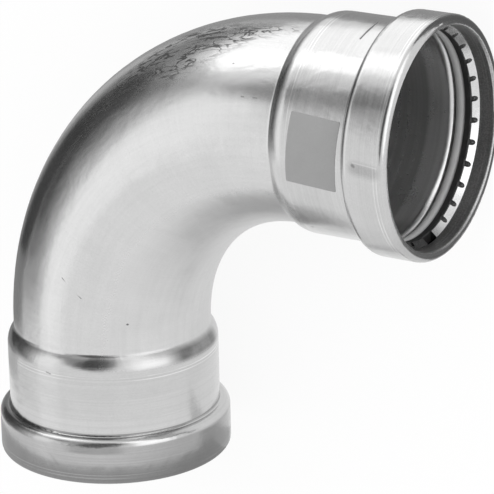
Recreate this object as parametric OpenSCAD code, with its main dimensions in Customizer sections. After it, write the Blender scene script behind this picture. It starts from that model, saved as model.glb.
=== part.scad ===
// Ninety-degree press elbow for stainless steel pipe. One formed tube makes the bend and two expanded
// sockets. The mouth of each socket is folded back into a bead, which holds a split cutting ring,
// a separator ring and a seal ring. The elbow lies on its side: the upper socket opens towards +X
// and the lower one towards -Y.

/* [Pipe] */
// Outside diameter of the pipe that each socket takes
pipe_od = 88.9; // [70:0.1:108]
// Free space round the pipe in the socket, on the radius
pipe_clearance = 0.8; // [0.3:0.05:1.2]

/* [Formed tube] */
// Wall thickness of the steel tube
wall = 2.3; // [1.5:0.1:3]
// How much smaller than the pipe the bent tube is, on the diameter
tube_undersize = 0; // [0:0.1:3]
// Radius of the bend on the tube's centre line
bend_radius = 108; // [80:1:180]
// Straight tube between each socket and the bend
tube_run = 1.5; // [0.5:0.5:60]

/* [Socket] */
// Depth from the mouth to the start of the pipe stop
socket_depth = 50.5; // [40:0.5:90]
// Length over which the socket narrows to the tube
stop_length = 8.7; // [4:0.1:12]
// Rounding of the crease between the stop and the tube, on the outside
stop_crease = 2.7; // [0.5:0.1:3]

/* [Bead] */
// Inside rounding of the bead's back corner
bead_inside_radius = 1.4; // [0.3:0.1:2]
// Straight part of the bead's back, on the radius
bead_web = 0.1; // [0.1:0.1:2]
// Rounding of the crease between the bead and the socket
crease_radius = 0.9; // [0.3:0.1:3]
// Length of the wall that is folded back inside the mouth
hem_length = 7.6; // [4:0.1:12]
// Rounding of the folded mouth on its outside
mouth_outer_radius = 2.6; // [0.5:0.1:2.9]
// Rounding of the folded mouth on its inside
mouth_inner_radius = 1.2; // [0.3:0.1:1.5]

/* [Ring fits] */
// Free space beside each ring, along the axis
ring_play = 0.1; // [0:0.05:0.3]
// Free space between the rings and the bead, on the radius
ring_clearance = 0.15; // [0.05:0.05:0.4]
// Free space between the pipe and the cutting and seal rings, on the radius
grip_clearance = 0.6; // [0.2:0.05:0.8]
// Free space between the pipe and the separator ring, on the radius
separator_clearance = 0.7; // [0.3:0.05:1.2]

/* [Cutting ring] */
// Width of the cutting ring along the axis
cutting_width = 2.9; // [2:0.1:4]
// Width of its blunt inner edge
cutting_edge = 0.5; // [0.2:0.1:1]
// Slope of its face, measured from the mouth's plane
cutting_slope = 45; // [35:1:60]
// Slot places in a full turn
slot_places = 30; // [16:1:40]
// Width of each slot
slot_width = 2.5; // [1:0.1:4]
// Depth of each slot from the inner edge
slot_depth = 1.9; // [1:0.1:3]
// Gap where the ring is split
split_gap = 8; // [2:0.5:10]
// Place of the split round the upper socket, turned from straight up
upper_split_angle = 185; // [0:1:359]
// Place of the split round the lower socket, turned from the side away from the bend
lower_split_angle = 30; // [0:1:359]

/* [Separator and seal] */
// Width of the separator ring along the axis
separator_width = 3.1; // [2:0.1:5]
// Chamfer on the separator ring's inner edges
separator_chamfer = 0.4; // [0.1:0.1:1]
// Width of the seal ring along the axis
seal_width = 4.8; // [3:0.1:6]
// How much rounder the seal's back corners are than the bead that they sit in
seal_relief = 0.2; // [0.05:0.05:0.5]

/* [Hidden] */
$fn = 96;
right_angle = 90;
half_turn = 180;
// Straight steps in each arc of the pipe stop
arc_steps = 12;

// Radii of the formed tube, from the inside out
tube_outer = (pipe_od - tube_undersize) / 2;
tube_inner = tube_outer - wall;
bore = pipe_od / 2 + pipe_clearance;
socket_outer = bore + wall;
web_foot = socket_outer + crease_radius;
web_head = web_foot + bead_web;
groove = web_head + bead_inside_radius;
bead_outer = groove + wall;
hem_inner = groove - wall;

// Places along the socket's axis, from the mouth inwards
cutting_start = hem_length + ring_play;
separator_start = cutting_start + cutting_width + ring_play;
seal_start = separator_start + separator_width + ring_play;
groove_end = seal_start + seal_width + ring_play;
bead_back = groove_end + wall;
bead_end = groove_end - bead_inside_radius;
crease_end = bead_back + crease_radius;
stop_end = socket_depth + stop_length;
tube_end = stop_end + tube_run;
leg = tube_end + bend_radius;
box_offset = (leg - bead_outer) / 2;

// Radii of the rings
ring_outer = groove - ring_clearance;
grip_radius = pipe_od / 2 + grip_clearance;
separator_radius = pipe_od / 2 + separator_clearance;
seal_nose = seal_width / 2;
seal_corner = bead_inside_radius + seal_relief;

// Colours of the pieces
steel = [0.77, 0.78, 0.79];
ring_steel = [0.88, 0.88, 0.87];
black_plastic = [0.07, 0.07, 0.07];
grey_rubber = [0.66, 0.66, 0.65];

// A quarter of a disc, in the corner between the two positive axes
module quarter(radius) {
    intersection() {
        circle(radius);
        square(radius);
    }
}

// A quarter of a ring of wall, in the corner between the two positive axes
module quarter_wall(inside) {
    difference() {
        quarter(inside + wall);
        circle(inside);
    }
}

// Section of a straight wall whose outside is at this radius
module straight_wall(outside, start, end) {
    translate([outside - wall, start]) square([wall, end - start]);
}

// Points of an arc, with or without its first point
function arc(centre, radius, from, to, first = 0) = [
    for (step = [first : arc_steps])
        let (angle = from + (to - from) * step / arc_steps)
            centre + radius * [cos(angle), sin(angle)]
];

// Section of the pipe stop: a wide arc and a tight one narrow the wall from the socket to the tube in an S
module stop_section() {
    drop = socket_outer - tube_outer;
    shoulder = (drop * drop + stop_length * stop_length) / (2 * drop) - stop_crease;
    angle = 2 * atan(drop / stop_length);
    high = [socket_outer - shoulder, socket_depth];
    low = [tube_outer + stop_crease, stop_end];
    polygon(concat(
        arc(high, shoulder, 0, angle),
        arc(low, stop_crease, half_turn + angle, half_turn, 1),
        arc(low, stop_crease + wall, half_turn, half_turn + angle),
        arc(high, shoulder - wall, angle, 0, 1)
    ));
}

// Section of the bead's back and the crease below it
module shoulder_section() {
    translate([web_head, bead_end]) quarter_wall(bead_inside_radius);
    translate([web_foot, groove_end]) square([bead_web, wall]);
    translate([web_foot, crease_end]) rotate(half_turn) quarter_wall(crease_radius);
}

// Section of the folded mouth: two layers of wall with a rounded front
module mouth_section() {
    lip = 2 * wall;
    translate([hem_inner, mouth_outer_radius]) square([lip, hem_length - mouth_outer_radius]);
    translate([hem_inner, mouth_inner_radius])
        square([lip - mouth_outer_radius, mouth_outer_radius - mouth_inner_radius]);
    translate([hem_inner + mouth_inner_radius, 0])
        square([lip - mouth_outer_radius - mouth_inner_radius, mouth_inner_radius]);
    translate([bead_outer - mouth_outer_radius, mouth_outer_radius])
        mirror([0, 1]) quarter(mouth_outer_radius);
    translate([hem_inner + mouth_inner_radius, mouth_inner_radius])
        rotate(half_turn) quarter(mouth_inner_radius);
}

// Section of one socket, drawn out from the bend to the mouth
module socket_section() {
    straight_wall(tube_outer, 0, tube_run);
    translate([0, tube_end]) mirror([0, 1]) {
        mouth_section();
        straight_wall(bead_outer, hem_length, bead_end);
        shoulder_section();
        straight_wall(socket_outer, crease_end, socket_depth);
        stop_section();
    }
}

// Section of the cutting ring: a wedge whose face slopes in from the mouth side
module cutting_section() {
    slope_height = cutting_width - cutting_edge;
    polygon([
        [ring_outer, cutting_start],
        [grip_radius + slope_height / tan(cutting_slope), cutting_start],
        [grip_radius, cutting_start + slope_height],
        [grip_radius, cutting_start + cutting_width],
        [ring_outer, cutting_start + cutting_width]
    ]);
}

// Section of the separator ring, with its inner edges chamfered
module separator_section() {
    separator_end = separator_start + separator_width;
    polygon([
        [ring_outer, separator_start],
        [separator_radius + separator_chamfer, separator_start],
        [separator_radius, separator_start + separator_chamfer],
        [separator_radius, separator_end - separator_chamfer],
        [separator_radius + separator_chamfer, separator_end],
        [ring_outer, separator_end]
    ]);
}

// Section of the seal ring: a round nose towards the pipe and rounded corners at its back
module seal_section() {
    middle = seal_start + seal_nose;
    nose_end = grip_radius + seal_nose;
    back = ring_outer - seal_corner;
    translate([nose_end, middle]) {
        rotate(right_angle) quarter(seal_nose);
        rotate(half_turn) quarter(seal_nose);
    }
    translate([nose_end, seal_start]) square([back - nose_end, seal_width]);
    translate([back, seal_start + seal_corner]) square([seal_corner, seal_width - 2 * seal_corner]);
    translate([back, seal_start + seal_width - seal_corner]) quarter(seal_corner);
    translate([back, seal_start + seal_corner]) mirror([0, 1]) quarter(seal_corner);
}

// Outline of one slot of the cutting ring, open to the inner edge and round at its end
module slot() {
    end_centre = grip_radius + slot_depth - slot_width / 2;
    translate([end_centre, 0]) circle(slot_width / 2);
    translate([0, -slot_width / 2]) square([end_centre, slot_width]);
}

// Outline of the cutting ring along its axis, with its slots and its split
module cutting_outline() {
    pitch = 360 / slot_places;
    difference() {
        circle(groove);
        for (place = [1 : slot_places - 2]) rotate((place + 0.5) * pitch) slot();
        translate([0, -split_gap / 2]) square([bead_outer, split_gap]);
    }
}

// Cutting ring on its own axis, split at this angle
module cutting_ring(split_angle) {
    rotate(split_angle) intersection() {
        rotate_extrude() cutting_section();
        translate([0, 0, hem_length])
            linear_extrude(cutting_width + 2 * ring_play) cutting_outline();
    }
}

// Puts what is drawn round the bend's centre in its place above the middle of the elbow's box
module at_bend() {
    translate([bend_radius - box_offset, box_offset - bend_radius, bead_outer])
        rotate(right_angle) children();
}

// Turns what is drawn up the Z axis out of the bend's upper end
module out_of_upper_end() {
    translate([bend_radius, 0, 0]) rotate([right_angle, 0, 0]) children();
}

// Turns what is drawn up the Z axis out of the bend's lower end
module out_of_lower_end() {
    translate([0, bend_radius, 0]) rotate([-right_angle, 0, right_angle]) children();
}

// Puts rings, drawn inwards from a mouth, in the upper socket
module in_upper_mouth() {
    at_bend() out_of_upper_end() translate([0, 0, tube_end]) mirror([0, 0, 1]) children();
}

// Puts rings, drawn inwards from a mouth, in the lower socket
module in_lower_mouth() {
    at_bend() out_of_lower_end() translate([0, 0, tube_end]) mirror([0, 0, 1]) children();
}

module elbow_body() {
    color(steel) at_bend() {
        rotate_extrude(angle = right_angle) translate([bend_radius, 0]) difference() {
            circle(tube_outer);
            circle(tube_inner);
        }
        out_of_upper_end() rotate_extrude() socket_section();
        out_of_lower_end() rotate_extrude() socket_section();
    }
}

module lower_cutting_ring() {
    color(ring_steel) in_lower_mouth() cutting_ring(lower_split_angle);
}

module lower_separator_ring() {
    color(black_plastic) in_lower_mouth() rotate_extrude() separator_section();
}

module lower_seal_ring() {
    color(grey_rubber) in_lower_mouth() rotate_extrude() seal_section();
}

module upper_cutting_ring() {
    color(ring_steel) in_upper_mouth() cutting_ring(upper_split_angle);
}

module upper_separator_ring() {
    color(black_plastic) in_upper_mouth() rotate_extrude() separator_section();
}

module upper_seal_ring() {
    color(grey_rubber) in_upper_mouth() rotate_extrude() seal_section();
}

elbow_body();
lower_cutting_ring();
lower_separator_ring();
lower_seal_ring();
upper_cutting_ring();
upper_separator_ring();
upper_seal_ring();
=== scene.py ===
"""Looks of the press elbow: camera, studio, worn satin steel, the rings and a plain grey patch."""
import math
from types import SimpleNamespace

import bpy
from mathutils import Matrix, Vector


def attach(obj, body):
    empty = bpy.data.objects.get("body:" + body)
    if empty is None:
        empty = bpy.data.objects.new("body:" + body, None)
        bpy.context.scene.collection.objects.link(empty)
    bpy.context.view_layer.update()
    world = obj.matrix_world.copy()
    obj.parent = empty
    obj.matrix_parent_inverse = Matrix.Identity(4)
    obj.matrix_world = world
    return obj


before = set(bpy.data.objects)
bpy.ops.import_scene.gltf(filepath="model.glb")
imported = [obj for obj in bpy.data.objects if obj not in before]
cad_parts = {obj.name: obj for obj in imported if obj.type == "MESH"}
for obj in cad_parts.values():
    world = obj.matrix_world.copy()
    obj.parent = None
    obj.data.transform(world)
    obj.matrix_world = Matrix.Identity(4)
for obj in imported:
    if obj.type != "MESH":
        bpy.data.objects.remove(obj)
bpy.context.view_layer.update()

# Shape values of the part, in metres: radii first, then lengths
TUBE = 0.04445
SOCKET = 0.04755
BEAD = 0.05225
BEND = 0.108
LEG = 0.1687
HEM_LENGTH = 0.0076

# Worked out from them: the bend's arc, a leg's straight run, and where the elbow lies in the frame
QUARTER = BEND * math.pi / 2
RUN = LEG - BEND
OFFSET = (LEG - BEAD) / 2
MOUTH = LEG - OFFSET
MIDDLE = Vector((0, 0, BEAD))

# Landmarks on a leg, by their reach from the bend's end towards the mouth
TOOL_BAND = 0.0298
CREASE = 0.0387
BEAD_BACK = 0.0437
HEM = RUN - HEM_LENGTH


# Node helpers
def nodes_of(material):
    material.use_nodes = True
    tree = material.node_tree
    tree.nodes.clear()
    return tree


def add(tree, kind, **values):
    node = tree.nodes.new(kind)
    for key, value in values.items():
        setattr(node, key, value)
    return node


def put(node, **values):
    for key, value in values.items():
        node.inputs[key.replace("_", " ")].default_value = value


def link(tree, a, out, b, into):
    tree.links.new(a.outputs[out], b.inputs[into])


# Camera
def turn_upright(vector):
    """From a frame with the lower leg upright to the part's own frame."""
    return Vector((vector.x, vector.z, -vector.y))


def make_camera():
    """A plain camera at the photograph's viewing angle. Angles are taken with the lower leg upright."""
    yaw = math.radians(31.4945)
    pitch = math.radians(19.4567)
    roll = math.radians(1.2237)
    distance = 1.4513
    aim = Vector((0.071891, 0.0, 0.105334))
    focal_pixels = 3332.9
    frame_pixels = 494
    sensor = 36.0
    level = math.cos(pitch)
    forward = Vector((-math.sin(yaw) * level, math.cos(yaw) * level, -math.sin(pitch)))
    right = Vector((math.cos(yaw), math.sin(yaw), 0.0))
    down = forward.cross(right)
    across = math.cos(roll) * right + math.sin(roll) * down
    under = -math.sin(roll) * right + math.cos(roll) * down
    data = bpy.data.cameras.new("camera")
    data.sensor_width = sensor
    data.lens = focal_pixels / frame_pixels * sensor
    data.clip_start = 0.05
    data.clip_end = 20.0
    camera = bpy.data.objects.new("camera", data)
    bpy.context.collection.objects.link(camera)
    place = turn_upright(aim - forward * distance) + Vector((-OFFSET, -MOUTH, BEAD))
    axes = Matrix((turn_upright(across), -turn_upright(under), -turn_upright(forward))).transposed()
    camera.matrix_world = Matrix.Translation(place) @ axes.to_4x4()
    bpy.context.scene.camera = camera


make_camera()


# Studio: a white world and floor, soft lamps, and cards that only reflections see.
# Azimuth 0 is towards -Y and 90 towards +X.
def toward(azimuth, elevation):
    a = math.radians(azimuth)
    e = math.radians(elevation)
    return Vector((math.sin(a) * math.cos(e), -math.cos(a) * math.cos(e), math.sin(e)))


def flat_object(name, corners):
    mesh = bpy.data.meshes.new(name)
    mesh.from_pydata([tuple(c) for c in corners], [], [tuple(range(len(corners)))])
    obj = bpy.data.objects.new(name, mesh)
    bpy.context.collection.objects.link(obj)
    return obj


def make_floor():
    """A floor that looks mostly white to the camera and in reflections, and still keeps its shadow."""
    size = 4.0
    white_share = 0.88
    paint = (0.96, 0.96, 0.96, 1)
    floor = flat_object("floor", [(-size, -size, 0), (size, -size, 0), (size, size, 0), (-size, size, 0)])
    material = bpy.data.materials.new("floor_white")
    tree = nodes_of(material)
    out = add(tree, "ShaderNodeOutputMaterial")
    diffuse = add(tree, "ShaderNodeBsdfDiffuse")
    diffuse.inputs["Color"].default_value = paint
    white = add(tree, "ShaderNodeEmission")
    path = add(tree, "ShaderNodeLightPath")
    first = add(tree, "ShaderNodeMath", operation="MAXIMUM")
    second = add(tree, "ShaderNodeMath", operation="MAXIMUM")
    share = add(tree, "ShaderNodeMath", operation="MULTIPLY")
    share.inputs[1].default_value = white_share
    mix = add(tree, "ShaderNodeMixShader")
    link(tree, path, "Is Camera Ray", first, 0)
    link(tree, path, "Is Glossy Ray", first, 1)
    link(tree, first, 0, second, 0)
    link(tree, path, "Is Transmission Ray", second, 1)
    link(tree, second, 0, share, 0)
    link(tree, share, 0, mix, 0)
    link(tree, diffuse, 0, mix, 1)
    link(tree, white, 0, mix, 2)
    link(tree, mix, 0, out, 0)
    floor.data.materials.append(material)


def make_world():
    world = bpy.data.worlds.new("studio")
    bpy.context.scene.world = world
    world.use_nodes = True
    back = world.node_tree.nodes["Background"]
    back.inputs["Color"].default_value = (1, 1, 1, 1)
    back.inputs["Strength"].default_value = 1.0


def softbox(name, azimuth, elevation, width, height, radiance):
    distance = 1.6
    data = bpy.data.lights.new(name, "AREA")
    data.shape = "RECTANGLE"
    data.size = width
    data.size_y = height
    data.energy = radiance * math.pi * width * height
    obj = bpy.data.objects.new(name, data)
    bpy.context.collection.objects.link(obj)
    obj.location = MIDDLE + toward(azimuth, elevation) * distance
    obj.rotation_mode = "QUATERNION"
    obj.rotation_quaternion = (MIDDLE - obj.location).to_track_quat("-Z", "Y")
    obj.visible_camera = False


def card(name, level, corners):
    """A flat card of an even brightness that only reflections see."""
    obj = flat_object(name, corners)
    material = bpy.data.materials.new(name)
    tree = nodes_of(material)
    out = add(tree, "ShaderNodeOutputMaterial")
    glow = add(tree, "ShaderNodeEmission")
    glow.inputs["Color"].default_value = (level, level, level, 1)
    link(tree, glow, 0, out, 0)
    obj.data.materials.append(material)
    obj.visible_camera = False
    obj.visible_diffuse = False
    obj.visible_shadow = False


def floor_card(name, level, height, outline):
    """A card just above the floor. Higher cards hide lower ones."""
    card(name, level, [(x, y, height) for x, y in outline])


def far_card(name, level, distance, facing, outline):
    """A card square to the direction it faces, with its corners as azimuths and elevations.

    Nearer cards hide farther ones.
    """
    axis = toward(*facing)
    ways = [toward(*corner) for corner in outline]
    card(name, level, [MIDDLE + way * (distance / way.dot(axis)) for way in ways])


def collar_card(name, level):
    """A card round the lower mouth, square to its axis, that shades the collar's reflections."""
    gap = 0.001
    inner = 0.050
    outer = 0.074
    half_turn = 110
    steps = 48
    turns = [math.radians(half_turn * (2 * i / steps - 1)) for i in range(steps + 1)]
    edge = [(outer, turn) for turn in turns] + [(inner, turn) for turn in reversed(turns)]
    card(name, level, [(-OFFSET + radius * math.sin(turn), -MOUTH - gap, BEAD + radius * math.cos(turn))
                       for radius, turn in edge])


make_floor()
make_world()

# Name, azimuth, elevation, width, height and radiance
softbox("softbox_above_left", -150, 2, 0.8, 0.9, 0.95)
softbox("softbox_above_right", 140, 6, 1.3, 1.3, 0.8)
softbox("softbox_right", 102, 17, 0.9, 1.2, 0.75)
softbox("softbox_left", -92, 46, 1.5, 0.75, 0.2)

# On the left, from pale to dark, on the floor and standing behind it
floor_card("flag_left_pale", 0.55, 0.0003, [
    (-0.10, -0.085), (-0.09, 0.03), (-0.05, 0.07), (0.0, 0.09), (0.07, 0.10), (-0.12, 0.23),
    (-0.50, 0.48), (-1.2, 0.92), (-1.2, -0.52),
])
floor_card("flag_left_near", 0.36, 0.0004, [
    (-0.09, -0.06), (-0.075, 0.02), (-0.045, 0.06), (-0.02, 0.075), (0.11, 0.075), (0.115, 0.150),
    (0.03, 0.142), (-0.03, 0.122), (-0.085, 0.10), (-0.122, 0.04), (-0.122, -0.04),
])
floor_card("flag_left_grey", 0.26, 0.0005, [
    (-0.165, -0.088), (-0.16, 0.07), (-0.12, 0.12), (-0.06, 0.145), (0.0, 0.150), (-0.25, 0.285),
    (-0.52, 0.46), (-1.2, 0.86), (-1.2, -0.45),
])
floor_card("flag_left_dark", 0.05, 0.0008, [
    (-0.21, -0.05), (-0.21, 0.10), (-0.31, 0.23), (-1.2, 0.80), (-1.2, -0.25),
])
for tone, level, distance, left, right, top in (
    ("pale", 0.7, 1.36, -134, -68, 30),
    ("grey", 0.42, 1.32, -129, -73, 24),
    ("deep", 0.2, 1.28, -124, -78, 17),
    ("dark", 0.06, 1.24, -119, -84, 9),
):
    floor_edge = -3
    far_card("flag_left_wall_" + tone, level, distance, (-104, 10), [
        (left, floor_edge), (right, floor_edge), (right, top), (left, top),
    ])

# Above the elbow
far_card("flag_above_pale", 0.5, 1.42, (175, 58), [
    (140, 33), (152, 25), (175, 25), (205, 30), (220, 36), (226, 50), (236, 66), (270, 80),
    (60, 74), (92, 60), (118, 50),
])
far_card("flag_above_dark", 0.1, 1.38, (160, 58), [
    (152, 30), (168, 29), (182, 38), (189, 50), (200, 63), (225, 78), (60, 80), (95, 70),
    (112, 62), (128, 52), (140, 42),
])
far_card("flag_above_strip", 0.3, 1.34, (-142, 39), [(-153, 32), (-132, 32), (-132, 47), (-153, 47)])

# On the floor: one beside the lower mouth, two before the upper mouth and a bright one behind the bend
floor_card("flag_right_below", 0.66, 0.0004, [(-0.02, -0.115), (0.08, -0.115), (0.08, -0.2), (-0.02, -0.2)])
floor_card("flag_right_back", 0.15, 0.0004, [
    (0.10, 0.12), (0.112, 0.066), (0.128, 0.074), (0.145, 0.086), (0.17, 0.13), (0.2, 0.4), (0.1, 0.4),
])
floor_card("flag_right_front", 0.18, 0.0004, [
    (0.1115, 0.06), (0.128, 0.045), (0.16, 0.05), (0.175, -0.03), (0.1115, -0.05),
])
floor_card("glow_above_floor", 1.55, 0.0006, [
    (-0.03, 0.20), (0.08, 0.14), (0.06, 0.30), (-0.2, 0.8), (-0.9, 1.1), (-0.42, 0.49), (-0.15, 0.28),
])
collar_card("flag_below", 0.5)


# Materials
class Graph:
    """A short way to write a material's node tree."""

    def __init__(self, name):
        self.material = bpy.data.materials.new(name)
        self.tree = nodes_of(self.material)
        self.out = add(self.tree, "ShaderNodeOutputMaterial")
        self.shader = add(self.tree, "ShaderNodeBsdfPrincipled")
        link(self.tree, self.shader, 0, self.out, 0)

    def feed(self, socket, value):
        if isinstance(value, bpy.types.NodeSocket):
            self.tree.links.new(value, socket)
        else:
            socket.default_value = value

    def math(self, operation, *values, clamp=False):
        node = add(self.tree, "ShaderNodeMath", operation=operation, use_clamp=clamp)
        for socket, value in zip(node.inputs, values):
            self.feed(socket, value)
        return node.outputs[0]

    def chain(self, operation, values):
        total = values[0]
        for value in values[1:]:
            total = self.math(operation, total, value)
        return total

    def greatest(self, *values):
        return self.chain("MAXIMUM", values)

    def product(self, *values):
        return self.chain("MULTIPLY", values)

    def sum(self, *values):
        return self.chain("ADD", values)

    def less(self, a, b):
        return self.math("SUBTRACT", a, b)

    def gap(self, a, b):
        return self.math("ABSOLUTE", self.less(a, b))

    def hypot(self, a, b):
        return self.math("SQRT", self.sum(self.product(a, a), self.product(b, b)))

    def position(self):
        return add(self.tree, "ShaderNodeTexCoord").outputs["Object"]

    def split(self, vector):
        node = add(self.tree, "ShaderNodeSeparateXYZ")
        self.feed(node.inputs[0], vector)
        return node.outputs[0], node.outputs[1], node.outputs[2]

    def join(self, x, y, z):
        node = add(self.tree, "ShaderNodeCombineXYZ")
        for socket, value in zip(node.inputs, (x, y, z)):
            self.feed(socket, value)
        return node.outputs[0]

    def noise(self, place, scale, detail, roughness, distortion=0.0):
        """Noise at a scale per metre, given as one number or as three."""
        scaled = add(self.tree, "ShaderNodeVectorMath", operation="MULTIPLY")
        self.feed(scaled.inputs[0], place)
        scaled.inputs[1].default_value = scale if isinstance(scale, tuple) else (scale, scale, scale)
        node = add(self.tree, "ShaderNodeTexNoise")
        self.feed(node.inputs["Vector"], scaled.outputs[0])
        put(node, Scale=1.0, Detail=detail, Roughness=roughness, Distortion=distortion)
        return node.outputs[0]

    def swing(self, noise, amount):
        """A noise that swings round zero, times an amount."""
        return self.product(self.less(noise, 0.5), amount)

    def between(self, noise, low, high):
        """A noise that runs from one value to another."""
        return self.math("MULTIPLY_ADD", noise, high - low, low)

    def ramp(self, value, low, high, to_low=0.0, to_high=1.0):
        node = add(self.tree, "ShaderNodeMapRange", interpolation_type="SMOOTHSTEP")
        self.feed(node.inputs["Value"], value)
        put(node, From_Min=low, From_Max=high, To_Min=to_low, To_Max=to_high)
        return node.outputs[0]

    def fade(self, value, low, high):
        return self.ramp(value, low, high, 1.0, 0.0)

    def band(self, value, low, high, soft):
        """1 between two values and 0 outside them, with soft ends."""
        return self.product(self.ramp(value, low - soft, low), self.fade(value, high, high + soft))

    def blend(self, amount, a, b):
        node = add(self.tree, "ShaderNodeMix", data_type="FLOAT")
        self.feed(node.inputs[0], amount)
        self.feed(node.inputs[2], a)
        self.feed(node.inputs[3], b)
        return node.outputs[0]

    def darken(self, tone, share):
        return self.product(tone, self.less(1.0, share))

    def bump(self, height, distance, normal=None):
        node = add(self.tree, "ShaderNodeBump")
        put(node, Strength=1.0, Distance=distance)
        self.feed(node.inputs["Height"], height)
        if normal is not None:
            self.feed(node.inputs["Normal"], normal)
        return node.outputs[0]

    def stroke(self, place, start, end, width, soft):
        """A mark along a straight line between two places, 1 on the line and 0 beside it."""
        start = Vector(start)
        step = Vector(end) - start
        off = add(self.tree, "ShaderNodeVectorMath", operation="SUBTRACT")
        self.feed(off.inputs[0], place)
        off.inputs[1].default_value = start
        dot = add(self.tree, "ShaderNodeVectorMath", operation="DOT_PRODUCT")
        self.feed(dot.inputs[0], off.outputs[0])
        dot.inputs[1].default_value = step / step.length_squared
        share = self.math("ADD", dot.outputs["Value"], 0.0, clamp=True)
        reach = add(self.tree, "ShaderNodeVectorMath", operation="SCALE")
        reach.inputs[0].default_value = step
        self.feed(reach.inputs["Scale"], share)
        gap = add(self.tree, "ShaderNodeVectorMath", operation="DISTANCE")
        self.feed(gap.inputs[0], off.outputs[0])
        self.feed(gap.inputs[1], reach.outputs[0])
        return self.fade(gap.outputs["Value"], width, width + soft)

    def surface(self, tone, roughness, normal, metallic=0.0):
        grey = add(self.tree, "ShaderNodeCombineColor")
        for socket in grey.inputs:
            self.feed(socket, tone)
        self.feed(self.shader.inputs["Base Color"], grey.outputs[0])
        self.feed(self.shader.inputs["Roughness"], roughness)
        self.feed(self.shader.inputs["Normal"], normal)
        put(self.shader, Metallic=metallic)
        return self.material


class TubePlace:
    """Where a point of the body lies: along the tube's path from the bend's lower end, and about its axis."""

    def __init__(self, g):
        x, y, z = g.split(g.position())
        dx = g.less(x, BEND - OFFSET)
        dy = g.less(y, OFFSET - BEND)
        across = g.math("MINIMUM", dx, 0.0)
        rise = g.math("MAXIMUM", dy, 0.0)
        turn = g.math("ARCTAN2", rise, g.product(across, -1.0))
        past = g.sum(g.math("MAXIMUM", dx, 0.0), g.math("MINIMUM", dy, 0.0))
        self.path = g.math("MULTIPLY_ADD", turn, BEND, past)
        self.out = g.less(g.hypot(across, rise), BEND)
        self.up = g.less(z, BEAD)
        self.point = g.join(self.path, self.out, self.up)
        # Angle about the axis from the outside of the bend, its size alone, and the distance from the axis
        self.turned = g.math("ARCTAN2", self.up, self.out)
        self.aside = g.math("ABSOLUTE", self.turned)
        self.radius = g.hypot(self.out, self.up)
        # Distance past the bend's nearer end, towards that end's mouth
        self.reach = g.less(g.gap(self.path, QUARTER / 2), QUARTER / 2)
        self.socket = g.ramp(self.reach, 0.004, 0.012)


def spot(path, degrees, radius):
    """A place on the body, by its path, its angle about the axis and its radius."""
    angle = math.radians(degrees)
    return (path, radius * math.cos(angle), radius * math.sin(angle))


def upper(depth, degrees, radius):
    """A place on the upper leg, by its depth behind the mouth."""
    return spot(QUARTER + RUN - depth, degrees, radius)


def steel_noises(g, point):
    """Satin grain, tool marks round the sockets and along the tube, clouding, waves and patchy wear."""
    return SimpleNamespace(
        grain=g.noise(point, 1500, 3.0, 0.6),
        lines=g.noise(point, (1700, 9, 9), 3.0, 0.7),
        bands=g.noise(point, (420, 4, 4), 2.0, 0.5),
        draw=g.noise(point, (22, 420, 420), 3.0, 0.6),
        cloud=g.noise(point, 55, 4.0, 0.55),
        wave=g.noise(point, (75, 95, 95), 2.0, 0.5, 0.4),
        worn=g.ramp(g.noise(point, (300, 30, 30), 3.0, 0.6), 0.35, 0.65),
    )


def bend_scuffs(g, at):
    """Wandering hairlines in a slanted patch on the outside of the bend, and the smear under them."""
    middle_path = 0.129
    middle_turn = 0.52
    slant = -5.5
    per_metre = 26.0
    per_radian = 2.9
    wide = g.noise(at.point, (110, 210, 210), 1.6, 0.5, 0.7)
    fine = g.noise(at.point, (85, 360, 360), 1.8, 0.5, 0.8)
    hairs = g.greatest(g.fade(g.gap(wide, 0.5), 0.016, 0.036), g.fade(g.gap(fine, 0.47), 0.020, 0.050))
    along = g.less(at.path, middle_path)
    beside = g.gap(at.turned, g.math("MULTIPLY_ADD", along, slant, middle_turn))
    spread = g.sum(g.product(g.math("ABSOLUTE", along), per_metre), g.product(beside, per_radian))
    patchy = g.noise(at.point, (160, 260, 260), 3.0, 0.6)
    scuff = g.product(hairs, g.fade(spread, 0.70, 1.35), g.ramp(patchy, 0.34, 0.46))
    smear = g.product(g.fade(spread, 0.2, 1.3), g.ramp(patchy, 0.42, 0.70))
    return scuff, smear


def single_marks(g, at):
    """Marks that the photograph shows one by one, each with a start, an end, half a width and a soft edge."""
    clear = (
        # A scratch round the upper socket, in three lengths
        (upper(0.0292, 22, SOCKET), upper(0.0289, 16, SOCKET), 0.00022, 0.0004),
        (upper(0.0289, 16, SOCKET), upper(0.0288, 10, SOCKET), 0.00032, 0.0004),
        (upper(0.0288, 10, SOCKET), upper(0.0290, 4, SOCKET), 0.00022, 0.0004),
        # Two pits and a hairline
        (spot(0.01691, 131.31, TUBE), spot(0.01697, 131.31, TUBE), 0.00040, 0.0003),
        (upper(0.0459, 140.09, SOCKET), upper(0.0457, 140.09, SOCKET), 0.00035, 0.0003),
        (spot(0.0334, 88.8, TUBE), spot(0.0274, 103.0, TUBE), 0.00006, 0.00022),
    )
    faint = (
        # A nick on the lower socket, a pit on the bend and two short nicks near its upper end
        (spot(-0.0120, 87.59, SOCKET), spot(-0.0116, 84.94, SOCKET), 0.00015, 0.0003),
        (spot(0.1527, 44.69, TUBE), spot(0.1529, 44.69, TUBE), 0.00010, 0.0004),
        (spot(0.1635, 63.81, TUBE), spot(0.1652, 63.81, TUBE), 0.00012, 0.0003),
        (spot(0.1586, 63.52, TUBE), spot(0.1597, 63.81, TUBE), 0.00012, 0.0003),
    )
    groups = ((clear, 0.8), (faint, 0.45))
    return g.greatest(*[
        g.product(g.stroke(at.point, *mark), strength)
        for marks, strength in groups
        for mark in marks
    ])


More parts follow.
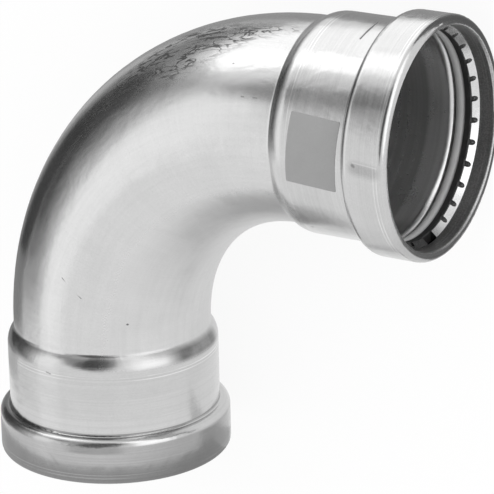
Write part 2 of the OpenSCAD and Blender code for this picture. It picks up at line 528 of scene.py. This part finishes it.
def dent_painted_shade(g, at):
    """How much the upper collar darkens with a shallow dent's painted shade: a soft painted shadow, a darker
    painted end, and a pale edge that is a painted highlight.
    """
    # Painted shadow and dark end of the dent, and a painted highlight along its edge
    shadow = g.stroke(at.point, upper(0.0132, 89.6, BEAD), upper(0.0050, 90.6, BEAD), 0.0006, 0.0040)
    end = g.stroke(at.point, upper(0.0142, 88.3, BEAD), upper(0.0136, 88.7, BEAD), 0.0002, 0.0012)
    edge = g.stroke(at.point, upper(0.0140, 87.0, BEAD), upper(0.0034, 88.1, BEAD), 0.00008, 0.0003)
    return g.sum(g.greatest(g.product(shadow, 0.15), g.product(end, 0.32)), g.product(edge, -0.10))


def bright_rings(g, at, noise):
    """Fine bright lines round the mouths and the pipe stops."""
    # Each line has a reach and half a width
    lines = ((0.0574, 0.00018), (0.0560, 0.0001), (0.0119, 0.00014), (0.0134, 0.0001))
    soft = 0.0002
    rings = [g.fade(g.gap(at.reach, reach), half, half + soft) for reach, half in lines]
    return g.product(g.greatest(*rings), noise.worn)


def spots_and_painted_shade(g, at, noise):
    """How much single places darken: dark spots on the lower shoulder and both collars, and painted shade on
    the lower shoulder towards the inside of the bend.
    """
    painted_shade_path = -0.0062
    # Each spot has a stretch of the path, a stretch of angles in radians and a strength
    along = g.band(at.path, -0.0062, -0.0046, 0.0014)
    shoulder = g.product(along, g.band(at.turned, 1.76, 2.08, 0.16), 0.22)
    along = g.band(at.path, -0.0450, -0.0432, 0.0014)
    lower_collar = g.product(along, g.band(at.turned, 1.84, 2.10, 0.20), 0.24)
    along = g.band(at.path, QUARTER + 0.0450, QUARTER + 0.0565, 0.0020)
    upper_collar = g.product(along, g.band(at.turned, 0.93, 1.04, 0.07), 0.13)
    spots = g.product(g.greatest(shoulder, lower_collar, upper_collar), g.blend(noise.worn, 0.7, 1.0))
    # Painted shade on the lower shoulder, standing in for a dark reflection
    shoulder_painted_shade = g.product(
        g.fade(g.gap(at.path, painted_shade_path), 0.0012, 0.0046),
        g.ramp(at.aside, 2.66, 2.90),
        g.ramp(noise.cloud, 0.30, 0.60, 0.70, 1.0),
        0.46,
    )
    return g.sum(spots, shoulder_painted_shade)


def collar_painted_shade(g, at, noise):
    """How much painted shade darkens the collars, most towards the inside of the bend, and a darker line
    along their creases.
    """
    collar = g.product(g.ramp(at.reach, 0.0415, 0.0430), g.ramp(at.radius, 0.0492, 0.0500))
    lower = g.fade(at.path, 0.0, 0.02)
    # Painted shade on the collars, deeper on the lower one
    painted_shade = g.blend(lower, g.ramp(at.aside, 2.0, 2.4, 0.0, 0.17), g.ramp(at.aside, 2.0, 2.9, 0.16, 0.36))
    # A darker line along the creases
    crease_line = g.product(
        g.band(at.reach, CREASE - 0.0003, CREASE + 0.0004, 0.0004),
        g.ramp(at.radius, 0.0468, 0.0470),
        g.blend(noise.worn, 0.30, 0.50),
    )
    return g.greatest(g.product(collar, painted_shade), crease_line)


def inner_wall(g, at):
    """1 on the walls inside the tube and the sockets. The limit grows with the step to the socket."""
    limit = 0.0430
    soft = 0.0004
    step_height = 0.003
    step = g.ramp(at.reach, 0.0035, 0.0085, 0.0, step_height)
    return g.fade(g.less(at.radius, step), limit, limit + soft)


def inner_painted_shade(g, at, noise, inner, hem):
    """How much painted shade darkens the sockets' inner walls and the hems. The walls are palest beside the
    crease, where the painted shade is least.
    """
    depth = g.less(
        g.ramp(at.reach, TOOL_BAND - 0.0010, TOOL_BAND + 0.0010, 0.34, 0.12),
        g.ramp(at.reach, 0.0345, 0.0395, 0.0, 0.24),
    )
    wall = g.product(inner, at.socket, g.sum(depth, g.swing(noise.bands, 0.25)))
    return g.greatest(wall, g.product(hem, g.ramp(noise.grain, 0.35, 0.65, 0.34, 0.10)))


def formed_steel():
    """Worn satin steel of the body."""
    tube_tone = 0.64
    socket_tone = 0.585
    worn_tone = 0.07
    groove_shade_tone = 0.05
    mean_roughness = 0.215
    g = Graph("formed_steel")
    at = TubePlace(g)
    noise = steel_noises(g, at.point)
    scuff, smear = bend_scuffs(g, at)
    wear = g.greatest(g.product(scuff, 0.9), single_marks(g, at))
    # Zones: the inner walls, the hem, the groove behind it, the crook of the bend and a pale tool band
    inner = inner_wall(g, at)
    inside = g.product(inner, g.blend(at.socket, 1.0, 0.25))
    hem = g.product(g.ramp(at.reach, HEM - 0.0006, HEM - 0.0001), g.fade(at.radius, 0.0480, 0.0484))
    groove = g.product(g.band(at.reach, BEAD_BACK, HEM - 0.0004, 0.0004), g.fade(at.radius, 0.0505, 0.0509))
    crook = g.product(g.fade(at.out, -0.036, -0.014), g.less(1.0, at.socket))
    pale = g.product(g.ramp(at.reach, 0.0312, 0.0322), g.fade(at.reach, CREASE - 0.0003, CREASE + 0.0003))
    # Colour
    tone = g.sum(
        g.blend(at.socket, tube_tone, socket_tone),
        g.swing(noise.cloud, 0.10),
        g.swing(noise.grain, 0.10),
        g.swing(noise.lines, g.blend(at.socket, 0.05, 0.14)),
        g.swing(noise.draw, g.blend(at.socket, 0.07, 0.02)),
        g.product(smear, -0.08),
        g.product(pale, 0.02),
        g.product(bright_rings(g, at, noise), 0.18),
    )
    # Darker at the spots, with painted shade on the lower shoulder and at the dent, and the dent's painted
    # highlight
    tone = g.less(tone, g.sum(spots_and_painted_shade(g, at, noise), dent_painted_shade(g, at)))
    # Painted light: a paler tone on the inner walls brightens the inside
    tone = g.sum(g.blend(wear, tone, worn_tone), g.product(inside, 0.15))
    # Painted shade on the sockets' inner walls and the hems
    tone = g.darken(tone, inner_painted_shade(g, at, noise, inner, hem))
    tone = g.darken(tone, collar_painted_shade(g, at, noise))
    # Painted shade: the groove behind the hem gets a near-black tone
    tone = g.blend(groove, tone, groove_shade_tone)
    # Gloss
    roughness = g.sum(
        mean_roughness,
        g.swing(noise.cloud, 0.12),
        g.swing(noise.grain, 0.10),
        g.swing(noise.bands, g.blend(at.socket, 0.02, 0.10)),
        g.product(smear, 0.10),
        g.product(crook, 0.20),
        g.product(inside, 0.32),
        g.product(hem, 0.13),
    )
    roughness = g.math("ADD", roughness, g.product(wear, 0.3), clamp=True)
    # Relief
    turned_lines = g.product(noise.lines, g.blend(at.socket, 0.25, 1.0))
    turned_bands = g.product(noise.bands, g.product(at.socket, 1.4))
    relief = g.bump(noise.wave, 0.00022)
    relief = g.bump(g.sum(turned_lines, turned_bands), 0.0000055, relief)
    relief = g.bump(g.less(g.product(noise.grain, 0.5), wear), 0.000010, relief)
    return g.surface(tone, roughness, relief, metallic=1.0)


def ring_steel():
    """Bright steel. Painted shade darkens the upper ring towards its ends and past its split."""
    mean_tone = 0.68
    mean_roughness = 0.24
    g = Graph("ring_steel")
    place = g.position()
    grain = g.noise(place, 1800, 3.0, 0.6)
    cloud = g.noise(place, 260, 3.0, 0.55)
    x, y, z = g.split(place)
    turned = g.math("ARCTAN2", g.less(z, BEAD), g.less(y, OFFSET))
    # Painted shade towards the ends of the upper ring and past its split
    ends = g.product(g.ramp(turned, -0.75, 0.45, 1.0, 0.25), g.ramp(turned, -3.02, -2.70, 0.45, 1.0))
    upper_ring = g.ramp(x, 0.05, 0.06)
    tone = g.sum(mean_tone, g.swing(cloud, 0.22), g.swing(grain, 0.12))
    tone = g.product(tone, g.blend(upper_ring, 1.0, ends))
    roughness = g.sum(mean_roughness, g.swing(cloud, 0.2), g.swing(grain, 0.1))
    return g.surface(tone, roughness, g.bump(g.sum(cloud, grain), 0.00003), metallic=1.0)


def moulded(name, grain_scale, cloud_scale, tone, roughness, relief):
    """A moulded material. Its tone follows a cloudy noise, and its roughness and relief a fine grain."""
    g = Graph(name)
    place = g.position()
    grain = g.noise(place, grain_scale, 2.0, 0.5)
    cloud = g.noise(place, cloud_scale, 3.0, 0.55)
    return g.surface(g.between(cloud, *tone), g.between(grain, *roughness), g.bump(grain, relief))


def black_plastic():
    return moulded("black_plastic", grain_scale=2200, cloud_scale=180,
                   tone=(0.010, 0.026), roughness=(0.34, 0.59), relief=0.00003)


def grey_rubber():
    return moulded("grey_rubber", grain_scale=2600, cloud_scale=150,
                   tone=(0.40, 0.50), roughness=(0.36, 0.61), relief=0.00002)


def printed_grey():
    mean_tone = 0.315
    g = Graph("printed_grey")
    place = g.position()
    grain = g.noise(place, 1600, 3.0, 0.6)
    cloud = g.noise(place, 120, 3.0, 0.55)
    tone = g.sum(mean_tone, g.swing(cloud, 0.03), g.swing(grain, 0.05))
    put(g.shader, Specular_IOR_Level=0.3)
    return g.surface(tone, g.between(grain, 0.45, 0.65), g.bump(grain, 0.000015))


looks = {
    "formed_steel": formed_steel(),
    "ring_steel": ring_steel(),
    "black_plastic": black_plastic(),
    "grey_rubber": grey_rubber(),
}
node_slot = {"elbow_body": "formed_steel"}
for end in ("lower", "upper"):
    node_slot[end + "_cutting_ring"] = "ring_steel"
    node_slot[end + "_separator_ring"] = "black_plastic"
    node_slot[end + "_seal_ring"] = "grey_rubber"
for node, slot in node_slot.items():
    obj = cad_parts[node]
    obj.data.materials.clear()
    obj.data.materials.append(looks[slot])


# The plain grey patch on the upper socket
def graded(count, fine):
    """Even steps from 0 to 1, with two fine steps at each end."""
    return [0, fine, 2 * fine] + [i / count for i in range(1, count)] + [1 - 2 * fine, 1 - fine, 1]


def round_corner(x, y, length, arc, corner):
    """Moves a point of a rectangle's grid so that the rectangle gets round corners."""
    dx = corner - min(x, length - x)
    dy = corner - min(y, arc - y)
    if dx <= 0 or dy <= 0:
        return x, y
    shrink = max(dx, dy) / math.hypot(dx, dy)
    inset_x = corner - dx * shrink
    inset_y = corner - dy * shrink
    return (inset_x if x < length / 2 else length - inset_x), (inset_y if y < arc / 2 else arc - inset_y)


def patch_points(us, vs, radius):
    """The patch's grid on one radius: u runs along the socket and v round it."""
    near = 0.0248
    far = 0.0480
    first = math.radians(68.9)
    last = math.radians(105.7)
    lean = 0.0020
    twist = math.radians(2.1)
    corner = 0.0006
    length = far - near
    arc = (last - first) * SOCKET
    points = []
    for v in vs:
        for u in us:
            x, y = round_corner(u * length, v * arc, length, arc, corner)
            angle = first + y / SOCKET + twist * (0.5 - x / length)
            depth = near + x + lean * (y / arc - 0.5)
            points.append((MOUTH - depth, OFFSET + radius * math.cos(angle), BEAD + radius * math.sin(angle)))
    return points


def sheet_faces(wide, tall):
    """Faces of two grids of points, one above the other, and of the rim between them."""
    below = wide * tall
    faces = []
    for j in range(tall - 1):
        for i in range(wide - 1):
            a = j * wide + i
            b = a + wide
            faces.append((a, b, b + 1, a + 1))
            faces.append((below + a, below + a + 1, below + b + 1, below + b))
    rim = list(range(wide - 1))
    rim += [j * wide + wide - 1 for j in range(tall - 1)]
    rim += [(tall - 1) * wide + i for i in range(wide - 1, 0, -1)]
    rim += [j * wide for j in range(tall - 1, 0, -1)]
    for a, b in zip(rim, rim[1:] + rim[:1]):
        faces.append((a, b, below + b, below + a))
    return faces


def make_patch():
    proud = 0.00006
    sunk = 0.00004
    us = graded(28, 0.012)
    vs = graded(40, 0.010)
    vertices = patch_points(us, vs, SOCKET + proud) + patch_points(us, vs, SOCKET - sunk)
    mesh = bpy.data.meshes.new("bare_patch")
    mesh.from_pydata(vertices, [], sheet_faces(len(us), len(vs)))
    mesh.update()
    patch = bpy.data.objects.new("bare_patch", mesh)
    bpy.context.collection.objects.link(patch)
    patch.data.materials.append(printed_grey())
    grid_faces = 2 * (len(us) - 1) * (len(vs) - 1)
    for polygon in mesh.polygons:
        polygon.use_smooth = polygon.index < grid_faces
    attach(patch, "root")


make_patch()

scene = bpy.context.scene
scene.view_settings.view_transform = "Standard"
